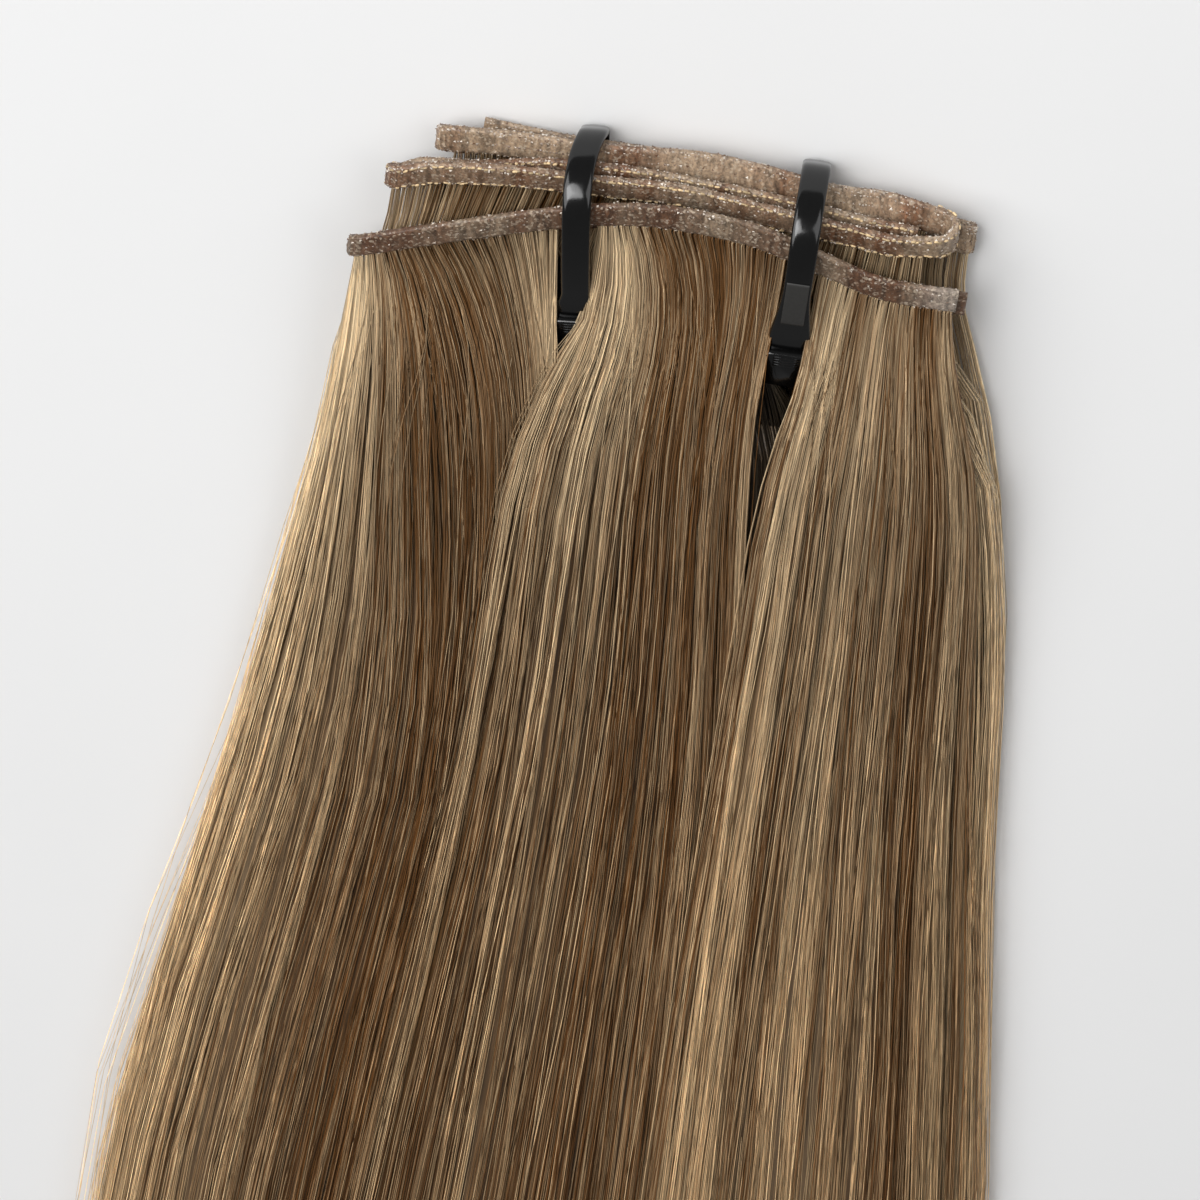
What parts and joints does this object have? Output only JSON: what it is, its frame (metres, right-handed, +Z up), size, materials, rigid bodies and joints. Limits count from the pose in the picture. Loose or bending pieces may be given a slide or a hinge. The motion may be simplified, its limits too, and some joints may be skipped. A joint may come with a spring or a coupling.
{
  "type": "weft hair extension",
  "caption": "Straight hair extension on thin coated weft bands, folded into a stack, held by black cable ties and laid flat with the hair fanned out.",
  "frame": {"origin": "centre of the bounding box on the surface that the hair lies on", "axes": "+X along the weft from the left end to the right, +Y from the hair tips to the weft, +Z up from the surface"},
  "size_m": [0.1312, 0.4062, 0.014],
  "materials": {
    "weft_coating": "thin brown coating over sewn hair, with fine glints",
    "hair_fibre": "straight smooth hair in mixed blond and brown locks, satin sheen",
    "black_nylon": "moulded black nylon, smooth and glossy"
  },
  "bodies": {
    "root": {"weft_band_main": "weft_coating", "weft_band_front": "weft_coating", "hair_back": "hair_fibre", "hair_second": "hair_fibre", "hair_third": "hair_fibre", "hair_fourth": "hair_fibre", "hair_fifth": "hair_fibre", "hair_front_left": "hair_fibre", "hair_front_middle": "hair_fibre", "hair_front_right": "hair_fibre", "cable_tie_left": "black_nylon", "cable_tie_right": "black_nylon"}
  },
  "joints": []
}
